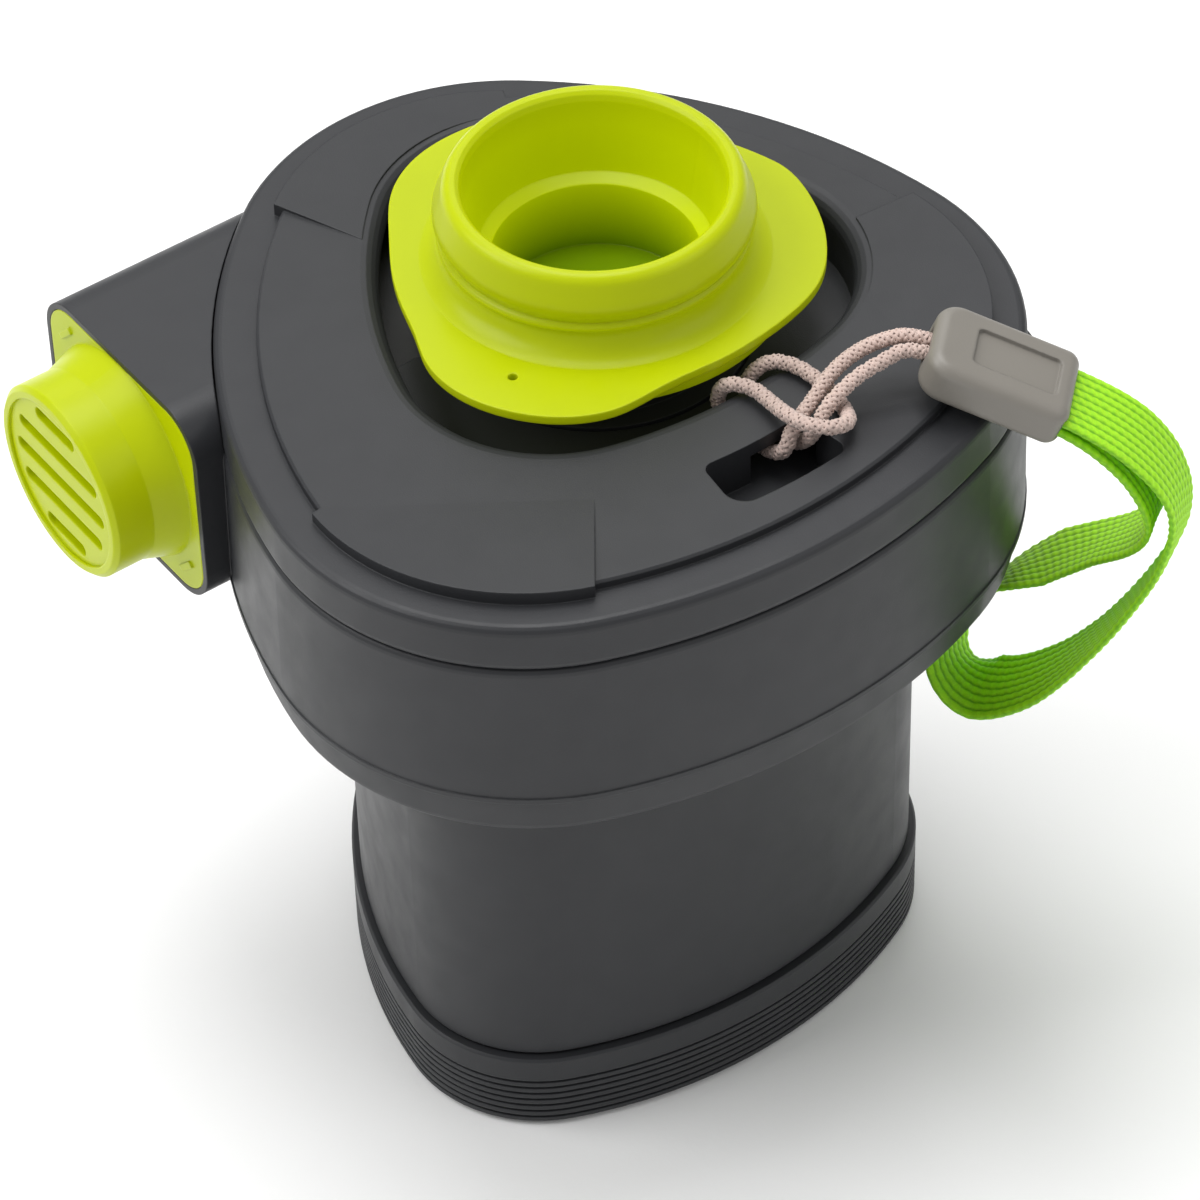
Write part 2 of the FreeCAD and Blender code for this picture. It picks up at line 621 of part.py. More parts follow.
def adapter():
    """Pull-off adapter: plug, three-lobed flange, and a threaded neck with a rolled lip."""
    z0 = FLANGE_TOP
    top = ADAPTER_TOP
    plug = revolve([(0, PLUG_BOTTOM), (PLUG_R - 0.6, PLUG_BOTTOM), (PLUG_R, PLUG_BOTTOM + 1),
                    (PLUG_R, z0 - 3.8), (UNDER_R - 0.8, z0 - 3.8), (UNDER_R, z0 - 3.0),
                    (UNDER_R, z0 - 1.0), (0, z0 - 1.0)])
    flange = Part.Face(flange_outline(z0 - 1.2)).extrude(V(0, 0, 1.2))
    body = plug.fuse(flange).fuse(adapter_neck()).fuse(thread_bead())
    hollow = revolve([(19.0, z0 - 3.9), (UNDER_R - 1.6, z0 - 3.9), (UNDER_R - 1.6, z0 - 1.4),
                      (19.0, z0 - 1.4)])
    body = body.cut(hollow)
    floor_top = PLUG_BOTTOM + ADAPTER_FLOOR
    bore = revolve([(0, PLUG_BOTTOM - 1), (ADAPTER_FLOOR_R, PLUG_BOTTOM - 1), (ADAPTER_FLOOR_R, floor_top),
                    (ADAPTER_BORE_R, floor_top), (ADAPTER_BORE_R, z0 - 0.4), (14.2, z0 + 0.4),
                    (ADAPTER_MOUTH_R, top - 1.2), (ADAPTER_MOUTH_R + 0.3, top - 0.4),
                    (ADAPTER_MOUTH_R + 0.9, top + 0.1), (0, top + 0.1)])
    body = body.cut(bore)
    return body.cut(rod(0.6, z0 - 3, z0 + 1, -15.4, -5.2))


def adapter_neck():
    """Neck whose outside runs smoothly from the flange over a bulge to the rounded lip."""
    z0 = FLANGE_TOP
    top = ADAPTER_TOP
    outer = [(22.2, z0 - 0.1), (20.2, z0 + 0.35), (19.0, z0 + 1.3), (ADAPTER_NECK_R, z0 + 2.8),
             (ADAPTER_NECK_R, z0 + 4.4), (18.7, z0 + 5.4), (ADAPTER_BULGE_R, z0 + 6.6),
             (19.0, z0 + 8.1), (18.4, z0 + 9.5), (18.1, z0 + 10.3), (17.6, z0 + 10.95), (17.0, top)]
    curve = Part.BSplineCurve()
    curve.interpolate([V(AXIS_X + r, AXIS_Y, z) for r, z in outer])
    inner = [(17.0, top), (10.0, top), (10.0, z0 - 1.0), (22.2, z0 - 1.0), (22.2, z0 - 0.1)]
    side = Part.makePolygon([V(AXIS_X + r, AXIS_Y, z) for r, z in inner])
    face = Part.Face(Part.Wire([curve.toShape()] + side.Edges))
    return face.revolve(V(AXIS_X, AXIS_Y, 0), Z_AXIS, 360)


def thread_bead():
    """Coarse rounded thread low on the neck, one turn."""
    low = FLANGE_TOP + 2.6
    helix = Part.makeHelix(THREAD_PITCH, THREAD_PITCH * THREAD_TURNS, ADAPTER_NECK_R)
    helix.translate(V(AXIS_X, AXIS_Y, low))
    start = V(AXIS_X + ADAPTER_NECK_R, AXIS_Y, low)
    profile = Part.Wire(Part.Circle(start, V(0, 1, 0.05), THREAD_R).toShape())
    return Part.Wire(helix.Edges).makePipeShell([profile], True, True)


# ---- switch ------------------------------------------------------------------------------
def switch_spot():
    """Plan point on the drum's wall under the switch."""
    hub = polar(DRUM[1] - DRUM[2], 330)
    return hub + polar(DRUM[2] + 0.4, SWITCH_AT)


def switch_block(size, inner, outer):
    """Upright block centred on the switch, between two depths along its normal."""
    spot = switch_spot()
    block = Part.makeBox(outer - inner, size[0], size[1], V(inner, -size[0] / 2, -size[1] / 2))
    return placed(block, spot.x, spot.y, SWITCH_Z, SWITCH_AT)


def switch_bezel():
    """Frame round the rocker, seated on the wall's curve, with its sleeve in the opening."""
    frame = switch_block(SWITCH_BEZEL, -1.1, 1.3).cut(switch_block(ROCKER, -3, 3))
    seat = prism(DRUM, 74.0, 92.0, 0.8).cut(switch_block(SWITCH_CUT, -30, 30))
    return frame.cut(seat)


def switch_body():
    """Switch case behind the bezel, open at the front for the rocker."""
    case = switch_block(SWITCH_CASE, -8.0, -1.1)
    return case.cut(switch_block(ROCKER, -3.6, 0))


def switch_rocker():
    """Rocker that tips about an upright axis, at rest tipped to its off side."""
    half_w = ROCKER[0] / 2 - ROCKER_GAP
    half_h = ROCKER[1] / 2 - ROCKER_GAP
    back, wing, dip = -1.4, 1.6, 0.9
    plan = [V(back, -half_w, -half_h), V(wing, -half_w, -half_h), V(dip, 0, -half_h),
            V(wing, half_w, -half_h), V(back, half_w, -half_h)]
    rocker = Part.Face(Part.makePolygon(plan + plan[:1])).extrude(V(0, 0, 2 * half_h))
    spot = switch_spot()
    return placed(rocker, spot.x, spot.y, SWITCH_Z, ROCKER_TILT + SWITCH_AT)


# ---- wrist strap -------------------------------------------------------------------------
def clip_placed(shape):
    """Shape moved from the clip's own frame (+X outward along it) to its place on the lid."""
    run = CLIP_OUTER - CLIP_INNER
    yaw = math.degrees(math.atan2(run.y, run.x))
    pitch = math.degrees(math.asin(-run.z / run.Length))
    return placed(shape, CLIP_INNER.x, CLIP_INNER.y, CLIP_INNER.z, yaw, pitch)


def in_clip(along, across, up):
    """Point in the clip's own directions, measured from the middle of its inner end."""
    return clip_placed(Part.Vertex(along, across, up)).Point


def strap_clip():
    """Moulded clip that joins the doubled cord to the webbing, with a sunk panel on its face."""
    length = (CLIP_OUTER - CLIP_INNER).Length
    half_w, half_t = CLIP_WIDTH / 2, CLIP_THICK / 2
    block = box((0, length), (-half_w, half_w), (-half_t, half_t))
    for end, radius in ((0, 3.0), (length, 1.8)):
        corners = [e for e in block.Edges if e.BoundBox.ZLength > 1 and abs(e.BoundBox.XMin - end) < 0.1]
        block = block.makeFillet(radius, corners)
    block = block.makeFillet(1.5, [e for e in block.Edges if e.BoundBox.ZLength < 0.01])
    panel = box((5.0, 15.6), (-3.0, 3.0), (half_t - PANEL_DEPTH, half_t + 1))
    upright = [e for e in panel.Edges if e.BoundBox.ZLength > 0.5]
    block = block.cut(panel.makeFillet(0.7, upright))
    hole = box((-1, HOLE_DEPTH), (-2.3, 2.3), (-1.15, 1.15))
    mouth = box((length - MOUTH_DEPTH, length + 1), (-5.3, 5.3), (-1.6, 1.6))
    return clip_placed(block.cut(hole).cut(mouth))


def cord_route():
    """The cord leaves the clip, girth-hitches round the lid's bridge and comes back to the clip."""
    middle = [
        (21.2, -28.0, 107.3), (18.6, -27.2, 106.6), (16.0, -26.9, 105.6), (13.4, -27.4, 104.7),
        (11.4, -28.0, 103.6), (9.3, -28.4, 102.5), (7.0, -29.1, 101.4), (6.1, -29.6, 99.5),
        (5.7, -27.8, 97.8), (5.3, -24.4, 97.5), (5.2, -21.0, 97.5), (5.0, -17.8, 98.3),
        (5.2, -17.5, 100.4), (5.7, -18.9, 102.6), (7.4, -21.6, 102.8), (7.4, -25.2, 102.9),
        (6.9, -28.8, 103.9), (7.1, -32.0, 104.7), (8.9, -34.2, 104.7), (12.0, -33.9, 103.6),
        (13.6, -31.4, 102.5), (14.4, -27.8, 102.5), (14.4, -24.4, 102.5), (13.8, -20.9, 102.5),
        (11.8, -18.5, 102.5), (9.7, -17.5, 100.4), (8.9, -17.8, 98.3), (8.7, -21.0, 97.5),
        (8.7, -24.4, 97.5), (8.7, -27.8, 97.8), (8.9, -29.7, 99.5), (9.1, -31.0, 101.7),
        (11.2, -30.5, 104.1), (14.0, -30.2, 105.3), (16.7, -30.1, 106.1), (19.4, -30.6, 106.8)]
    start, leave = [in_clip(along, STRAND_GAP / 2, 0) for along in (HOLE_DEPTH, -2.0)]
    arrive, finish = [in_clip(along, -STRAND_GAP / 2, 0) for along in (-2.0, HOLE_DEPTH)]
    return [start, leave] + [V(*p) for p in middle] + [arrive, finish]


def web_route():
    """Webbing's stops: a point, and the direction of the web's width there."""
    middle = [
        (43.4, -50.4, 95.2, -0.72, -0.66, -0.1), (46.9, -53.2, 87.8, -0.75, -0.66, -0.05),
        (46.9, -53.4, 79.6, -0.85, -0.52, 0.0), (43.6, -51.3, 71.2, -0.88, -0.46, -0.05),
        (39.2, -48.2, 62.8, -0.90, -0.43, -0.1), (35.0, -43.4, 54.8, -0.88, -0.44, -0.2),
        (31.2, -37.0, 49.8, -0.86, -0.42, -0.2), (30.4, -30.8, 50.6, -0.85, -0.3, 0.35),
        (33.4, -27.4, 54.2, -0.75, -0.2, 0.62), (38.6, -29.2, 58.8, -0.75, -0.2, 0.6),
        (43.4, -35.0, 64.4, -0.85, -0.35, 0.3), (46.6, -42.4, 71.2, -0.90, -0.43, 0.05),
        (46.9, -48.8, 78.6, -0.85, -0.5, 0.0), (45.4, -50.8, 85.6, -0.78, -0.62, 0.0),
        (42.2, -48.6, 93.0, -0.72, -0.68, 0.0)]
    across = in_clip(0, -1, 0) - in_clip(0, 0, 0)
    length = (CLIP_OUTER - CLIP_INNER).Length
    half = LAYER_GAP / 2
    stops = [(in_clip(length + along, 0, half), across) for along in (-MOUTH_DEPTH, 1.6)]
    stops += [(V(*m[:3]), V(*m[3:])) for m in middle]
    stops += [(in_clip(length + along, 0, -half), across) for along in (1.2, -MOUTH_DEPTH)]
    return stops


def strap_cord():
    return tube("strap_cord", cord_route(), CORD_D)


def strap_webbing():
    """Flat web: straight runs joined by tangent arcs, with its width turning along the way."""
    stops = web_route()
    points = [p for p, way in stops]
    ways = [way for p, way in stops]
    edges, radii = round_route(points)
    sections = []
    for k, edge in enumerate(edges):
        stop = (k + 1) // 2
        if k % 2:
            samples = (0.0, 0.25, 0.5, 0.75, 1.0)
        elif k == 0:
            samples = (0.0,)
        elif k == len(edges) - 1:
            samples = (1.0,)
        else:
            samples = ()
        for share in samples:
            at = edge.FirstParameter + share * (edge.LastParameter - edge.FirstParameter)
            spot = edge.valueAt(at)
            heading = edge.tangentAt(at)
            wanted = ways[min(stop, len(ways) - 1)]
            if k % 2 and share != 0.5:
                other = stop - 1 if share < 0.5 else stop + 1
                lean = (spot - points[stop]).Length / (points[other] - points[stop]).Length
                wanted = wanted * (1 - lean) + ways[other] * lean
            across = (wanted - heading * wanted.dot(heading)).normalize()
            face_way = heading.cross(across).normalize()
            a = across * (WEB_WIDTH / 2)
            t = face_way * (WEB_THICK / 2)
            loop = [spot + a + t, spot - a + t, spot - a - t, spot + a - t]
            sections.append(Part.makePolygon(loop + loop[:1]))
    solid = Part.makeLoft(sections, True, True)
    length = sum(e.Length for e in edges)
    print("strap_webbing", "length %.1f" % length, "radii", ["%.1f" % r for r in radii],
          "volume ratio %.3f" % (solid.Volume / (length * WEB_WIDTH * WEB_THICK)))
    return solid


NODES = {
    "drum_housing": drum_housing,
    "column_shell": column_shell,
    "base_cap": base_cap,
    "lid": lid,
    "lid_screws": lid_screws,
    "cell_1": lambda: cell(0),
    "cell_2": lambda: cell(1),
    "cell_3": lambda: cell(2),
    "base_contact": base_contact,
    "contact_board": contact_board,
    "cell_contacts": cell_contacts,
    "motor_mount": motor_mount,
    "motor": motor,
    "motor_shaft": motor_shaft,
    "impeller": impeller,
    "volute": volute,
    "scroll_cover": scroll_cover,
    "intake_guard": intake_guard,
    "outlet_spigot": outlet_spigot,
    "outlet_grille": outlet_grille,
    "adapter": adapter,
    "switch_bezel": switch_bezel,
    "switch_body": switch_body,
    "switch_rocker": switch_rocker,
    "strap_clip": strap_clip,
    "strap_cord": strap_cord,
    "strap_webbing": strap_webbing,
}


def main():
    os.makedirs("parts", exist_ok=True)
    for name, make in NODES.items():
        shape = make()
        solids = len(shape.Solids)
        print("%-16s valid %s solids %d volume %.0f" % (name, shape.isValid(), solids, shape.Volume))
        shape.exportStep("parts/%s.step" % name)


main()
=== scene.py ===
"""Looks of the battery-powered air mattress pump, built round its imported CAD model.

Metres, +Z up, in the CAD model's own frame: the origin is the centre of the base's underside.
"""
import json
import math

import bpy
from mathutils import Matrix, Vector


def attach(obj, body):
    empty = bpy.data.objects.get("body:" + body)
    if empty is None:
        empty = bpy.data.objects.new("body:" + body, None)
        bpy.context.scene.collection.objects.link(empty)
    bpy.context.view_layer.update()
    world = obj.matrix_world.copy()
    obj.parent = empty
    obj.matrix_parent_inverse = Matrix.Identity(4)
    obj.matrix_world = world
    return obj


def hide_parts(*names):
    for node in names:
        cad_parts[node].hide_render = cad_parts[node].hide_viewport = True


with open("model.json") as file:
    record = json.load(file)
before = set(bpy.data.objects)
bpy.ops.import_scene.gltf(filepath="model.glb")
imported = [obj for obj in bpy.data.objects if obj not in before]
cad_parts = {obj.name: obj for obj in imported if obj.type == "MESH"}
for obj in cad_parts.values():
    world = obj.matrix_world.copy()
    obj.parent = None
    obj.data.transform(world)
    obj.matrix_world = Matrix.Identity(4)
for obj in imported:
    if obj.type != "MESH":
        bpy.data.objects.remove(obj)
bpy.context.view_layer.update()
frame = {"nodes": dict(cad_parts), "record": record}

MM = 0.001

# Axis shared by the intake, the adapter and the fan.
AXIS = Vector((5.5, 7.0, 0.0)) * MM

# Camera: where it stands round the pump, what it looks at, and its lens on a 36 mm sensor.
CAMERA_AZIMUTH = -125.09
CAMERA_ELEVATION = 44.61
CAMERA_ROLL = -1.63
CAMERA_DISTANCE = 0.70035
CAMERA_TARGET = Vector((-2.81, -3.67, 60.0)) * MM
CAMERA_LENS = 170.5
CAMERA_CLIP = (0.05, 20.0)

# Studio: light from all round, lamps (name, place, side of the square, power), half the floor's side.
WORLD_LIGHT = 0.46
LAMPS = (("key", (-0.9, 0.5, 1.1), 0.9, 11.0), ("fill", (0.6, -1.0, 0.8), 1.0, 2.6),
         ("top", (0.1, 0.3, 1.4), 0.8, 11.5), ("back", (0.7, 1.0, 1.2), 1.2, 4.5))
LAMP_AIM = Vector((0, 0, 0.06))
FLOOR_HALF = 3.0

# Lime plastic: its colour, and the strength of the painted glow each piece adds, standing in for light
# passing through the slightly clear moulding.
LIME = (0.40, 0.47, 0.0)
LIME_PAINTED_GLOW = 0.16
ADAPTER_PAINTED_GLOW = 0.15
BORE_PAINTED_GLOW = 0.36

# Adapter's bore: painted shade darkens it from its inner step down to its floor, and a painted glow is
# stronger inside its wall.
BORE_PAINTED_SHADE = (0.17, 0.29, 0.0)
BORE_FLOOR_Z = 95.0 * MM
BORE_STEP_Z = 104.5 * MM
BORE_WALL_INNER = 15.2 * MM
BORE_WALL_OUTER = 16.4 * MM

# Cord's route: out of the clip, round the lid's bridge as a hitch, and back to the clip.
CORD_ROUTE = [
    (27.8, -33.1, 106.0), (24.6, -29.7, 107.8), (21.2, -28.0, 107.3), (18.6, -27.2, 106.6),
    (16.0, -26.9, 105.6), (13.4, -27.4, 104.7), (11.4, -28.0, 103.6), (9.3, -28.4, 102.5),
    (7.0, -29.1, 101.4), (6.1, -29.6, 99.5), (5.7, -27.8, 97.8), (5.3, -24.4, 97.5),
    (5.2, -21.0, 97.5), (5.0, -17.8, 98.3), (5.2, -17.5, 100.4), (5.7, -18.9, 102.6),
    (7.4, -21.6, 102.8), (7.4, -25.2, 102.9), (6.9, -28.8, 103.9), (7.1, -32.0, 104.7),
    (8.9, -34.2, 104.7), (12.0, -33.9, 103.6), (13.6, -31.4, 102.5), (14.4, -27.8, 102.5),
    (14.4, -24.4, 102.5), (13.8, -20.9, 102.5), (11.8, -18.5, 102.5), (9.7, -17.5, 100.4),
    (8.9, -17.8, 98.3), (8.7, -21.0, 97.5), (8.7, -24.4, 97.5), (8.7, -27.8, 97.8),
    (8.9, -29.7, 99.5), (9.1, -31.0, 101.7), (11.2, -30.5, 104.1), (14.0, -30.2, 105.3),
    (16.7, -30.1, 106.1), (19.4, -30.6, 106.8), (23.0, -31.2, 107.8), (26.2, -34.6, 106.0)]

# Braid: oval strands wound both ways over and under each other, round a plain core.
BRAID_STEP = 0.22 * MM
BRAID_LAY = 5.0 * MM
CORE_RADIUS = 0.66 * MM
CORE_SIDES = 10
STRANDS = 6
STRAND_SIDES = 6
STRAND_OUT = 0.72 * MM
STRAND_WEAVE = 0.12 * MM
STRAND_HALF_THICK = 0.15 * MM
STRAND_HALF_WIDE = 0.36 * MM

# Webbing's route: points, each with the direction of the web's width there.
WEB_WIDTH = 10.3 * MM
WEB_ROUTE = [
    (34.1, -41.6, 102.8, -0.73, -0.68, 0.0), (37.7, -45.4, 100.8, -0.73, -0.68, 0.0),
    (43.4, -50.4, 95.2, -0.72, -0.66, -0.1), (46.9, -53.2, 87.8, -0.75, -0.66, -0.05),
    (46.9, -53.4, 79.6, -0.85, -0.52, 0.0), (43.6, -51.3, 71.2, -0.88, -0.46, -0.05),
    (39.2, -48.2, 62.8, -0.90, -0.43, -0.1), (35.0, -43.4, 54.8, -0.88, -0.44, -0.2),
    (31.2, -37.0, 49.8, -0.86, -0.42, -0.2), (30.4, -30.8, 50.6, -0.85, -0.3, 0.35),
    (33.4, -27.4, 54.2, -0.75, -0.2, 0.62), (38.6, -29.2, 58.8, -0.8, -0.3, 0.25),
    (43.4, -35.0, 64.4, -0.8, -0.42, -0.1), (46.6, -42.4, 71.2, -0.90, -0.43, 0.05),
    (46.9, -48.8, 78.6, -0.85, -0.5, 0.0), (45.4, -50.8, 85.6, -0.78, -0.62, 0.0),
    (42.2, -48.6, 93.0, -0.72, -0.68, 0.0), (37.1, -44.7, 99.6, -0.73, -0.68, 0.0),
    (33.8, -41.2, 101.4, -0.73, -0.68, 0.0)]

# Weave: ribs along the web, each a row of stitches, on a flat core with rounded selvedges.
WEB_RIBS = 9
WEB_STITCH = 1.3 * MM
RIB_COLUMNS = 6
STITCH_ROWS = 6
SELVEDGE_COLUMNS = 5
STITCH_SLANT = 0.35
WEB_CORE = 0.30 * MM
RIB_RISE = 0.27 * MM

# Points that each span of a route is drawn with.
ROUTE_RESOLUTION = 24


# ---- shader helpers ----------------------------------------------------------------------
class Shader:
    """A material's node tree, with short ways to add and link nodes."""

    def __init__(self, name, colour, roughness, metallic=0.0):
        self.material = bpy.data.materials.new(name)
        self.material.use_nodes = True
        self.tree = self.material.node_tree
        self.tree.nodes.clear()
        self.output = self.tree.nodes.new("ShaderNodeOutputMaterial")
        self.surface = self.tree.nodes.new("ShaderNodeBsdfPrincipled")
        self.surface.inputs["Base Color"].default_value = (*colour, 1.0)
        self.surface.inputs["Roughness"].default_value = roughness
        self.surface.inputs["Metallic"].default_value = metallic
        self.link(self.surface.outputs["BSDF"], self.output.inputs["Surface"])
        self.coordinates = self.tree.nodes.new("ShaderNodeTexCoord")
        self.place = self.coordinates.outputs["Object"]
        self.normal = None

    def add(self, kind, **values):
        node = self.tree.nodes.new(kind)
        for key, value in values.items():
            if hasattr(node, key):
                setattr(node, key, value)
            else:
                node.inputs[key.replace("_", " ")].default_value = value
        return node

    def link(self, start, end):
        self.tree.links.new(start, end)

    def noise(self, scale, detail=3.0, roughness=0.5):
        node = self.add("ShaderNodeTexNoise", Scale=scale, Detail=detail, Roughness=roughness)
        self.link(self.place, node.inputs["Vector"])
        return node.outputs["Fac"]

    def maths(self, operation, first, second=None):
        node = self.add("ShaderNodeMath", operation=operation)
        for slot, value in enumerate((first, second)):
            if value is None:
                continue
            if isinstance(value, (int, float)):
                node.inputs[slot].default_value = value
            else:
                self.link(value, node.inputs[slot])
        return node.outputs[0]

    def vector_maths(self, operation, first, second=None):
        node = self.add("ShaderNodeVectorMath", operation=operation)
        self.link(first, node.inputs[0])
        if isinstance(second, (tuple, Vector)):
            node.inputs[1].default_value = second
        elif second is not None:
            self.link(second, node.inputs[1])
        return node

    def remap(self, value, low, high, to_low, to_high):
        node = self.add("ShaderNodeMapRange")
        self.link(value, node.inputs["Value"])
        for name, number in zip(("From Min", "From Max", "To Min", "To Max"),
                                (low, high, to_low, to_high)):
            node.inputs[name].default_value = number
        return node.outputs["Result"]

    def mix(self, share, first, second):
        node = self.add("ShaderNodeMix", data_type="RGBA")
        factor, colour_a, colour_b = 0, 6, 7
        for slot, value in ((factor, share), (colour_a, first), (colour_b, second)):
            if isinstance(value, tuple):
                node.inputs[slot].default_value = (*value, 1.0)
            elif isinstance(value, (int, float)):
                node.inputs[slot].default_value = value
            else:
                self.link(value, node.inputs[slot])
        return node.outputs[2]

    def bump(self, height, depth):
        node = self.add("ShaderNodeBump", Distance=depth, Strength=1.0)
        self.link(height, node.inputs["Height"])
        if self.normal is not None:
            self.link(self.normal, node.inputs["Normal"])
        self.normal = node.outputs["Normal"]
        self.link(self.normal, self.surface.inputs["Normal"])

    def round_edges(self, radius):
        """Softens the shading over sharp edges, and gives a mask of where they are."""
        bevel = self.add("ShaderNodeBevel", samples=6)
        bevel.inputs["Radius"].default_value = radius
        self.normal = bevel.outputs["Normal"]
        self.link(self.normal, self.surface.inputs["Normal"])
        flat = self.add("ShaderNodeNewGeometry")
        turned = self.vector_maths("DOT_PRODUCT", bevel.outputs["Normal"], flat.outputs["Normal"])
        return self.remap(turned.outputs["Value"], 0.995, 0.80, 0.0, 1.0)

    def colour(self, value):
        self.link(value, self.surface.inputs["Base Color"])

    def roughness(self, value):
        self.link(value, self.surface.inputs["Roughness"])


def moulded(name, colour, painted_highlight, roughness, grain, depth, edge_radius=0.25 * MM, blotch=0.08):
    """Moulded plastic: fine grain, faint cloudy variation, and a painted highlight along the edges,
    broken up by noise.
    """
    s = Shader(name, colour, roughness)
    edge_highlight_mask = s.round_edges(edge_radius)
    cloud = s.remap(s.noise(60.0, 4.0), 0.3, 0.7, 0.0, 1.0)
    dark = tuple(c * (1.0 - blotch) for c in colour)
    base = s.mix(cloud, dark, colour)
    highlight_breakup = s.remap(s.noise(900.0, 2.0), 0.45, 0.7, 0.25, 1.0)
    # Painted highlight: edges are mixed towards a lighter colour, broken up by noise.
    s.colour(s.mix(s.maths("MULTIPLY", s.maths("MULTIPLY", edge_highlight_mask, highlight_breakup), 0.6), base, painted_highlight))
    s.roughness(s.remap(s.noise(220.0, 3.0), 0.3, 0.7, roughness - 0.04, roughness + 0.05))
    s.bump(s.noise(grain, 2.0, 0.6), depth)
    return s


def metal(name, colour, roughness, grain=1500.0):
    s = Shader(name, colour, roughness, 1.0)
    s.round_edges(0.15 * MM)
    s.roughness(s.remap(s.noise(grain, 3.0), 0.3, 0.7, roughness - 0.06, roughness + 0.12))
    dull = tuple(c * 0.8 for c in colour)
    s.colour(s.mix(s.remap(s.noise(180.0), 0.35, 0.65, 0.0, 1.0), dull, colour))
    s.bump(s.noise(grain * 2, 2.0), 0.01 * MM)
    return s


def glowing_lime(name):
    """Lime plastic, slightly clear below its surface, with an even painted glow of its own."""
    s = moulded(name, LIME, painted_highlight=(0.50, 0.60, 0.02), roughness=0.32, grain=2400.0, depth=0.004 * MM,
                edge_radius=0.35 * MM, blotch=0.05)
    s.surface.inputs["Specular IOR Level"].default_value = 0.2
    s.surface.inputs["Subsurface Weight"].default_value = 0.35
    s.surface.inputs["Subsurface Radius"].default_value = (1.0, 1.0, 0.05)
    s.surface.inputs["Subsurface Scale"].default_value = 2.0 * MM
    # Painted glow: the lime gives off a little light of its own colour.
    s.surface.inputs["Emission Color"].default_value = (*LIME, 1.0)
    s.surface.inputs["Emission Strength"].default_value = LIME_PAINTED_GLOW
    return s


def adapter_lime_with_painted_shade():
    """The lime of the adapter, with painted shade darkening its bore towards the floor, and a painted
    glow that is stronger inside its wall and fades out towards the floor.
    """
    s = glowing_lime("adapter_plastic_painted_shade")
    height = s.add("ShaderNodeSeparateXYZ")
    s.link(s.place, height.inputs[0])
    # Painted shade: the bore's colour darkens towards its floor.
    bore_painted_light_mask = s.remap(height.outputs["Z"], BORE_FLOOR_Z, BORE_STEP_Z, 0.0, 1.0)
    base = s.surface.inputs["Base Color"].links[0].from_socket
    s.colour(s.mix(bore_painted_light_mask, BORE_PAINTED_SHADE, base))
    off_axis = s.vector_maths("SUBTRACT", s.place, AXIS)
    level = s.vector_maths("MULTIPLY", off_axis.outputs[0], (1.0, 1.0, 0.0))
    radius = s.vector_maths("LENGTH", level.outputs[0]).outputs["Value"]
    # Painted glow: stronger inside the bore's wall than outside it, fading out towards the floor.
    bore_painted_glow = s.remap(radius, BORE_WALL_INNER, BORE_WALL_OUTER, BORE_PAINTED_GLOW, ADAPTER_PAINTED_GLOW)
    s.link(s.maths("MULTIPLY", bore_painted_light_mask, bore_painted_glow), s.surface.inputs["Emission Strength"])
    return s


def webbing_fibre(name, painted_shade, painted_highlight):
    """Woven webbing: painted shade in the furrows between the ribs, and a painted highlight on the
    stitches along them.
    """
    s = Shader(name, painted_highlight, 0.62)
    uv = s.add("ShaderNodeSeparateXYZ")
    s.link(s.coordinates.outputs["UV"], uv.inputs[0])
    # Painted shade in the furrows and a painted highlight on the stitch tops, from the weave's UV
    # pattern.
    rib = s.maths("ABSOLUTE", s.maths("SINE", s.maths("MULTIPLY", uv.outputs["X"], math.pi * WEB_RIBS)))
    stitch = s.maths("SINE", s.maths("MULTIPLY", uv.outputs["Y"], 2 * math.pi))
    share = s.maths("ADD", s.remap(rib, 0.1, 0.8, 0.0, 0.75), s.remap(stitch, -1.0, 1.0, 0.0, 0.25))
    fibre = s.remap(s.noise(4500.0, 2.0), 0.3, 0.7, -0.12, 0.12)
    s.colour(s.mix(s.maths("ADD", share, fibre), painted_shade, painted_highlight))
    s.surface.inputs["Sheen Weight"].default_value = 0.25
    s.surface.inputs["Sheen Tint"].default_value = (*painted_highlight, 1.0)
    s.surface.inputs["Subsurface Weight"].default_value = 0.2
    s.surface.inputs["Subsurface Radius"].default_value = (0.4, 1.0, 0.1)
    s.surface.inputs["Subsurface Scale"].default_value = 1.0 * MM
    s.bump(s.noise(6000.0, 2.0), 0.03 * MM)
    return s


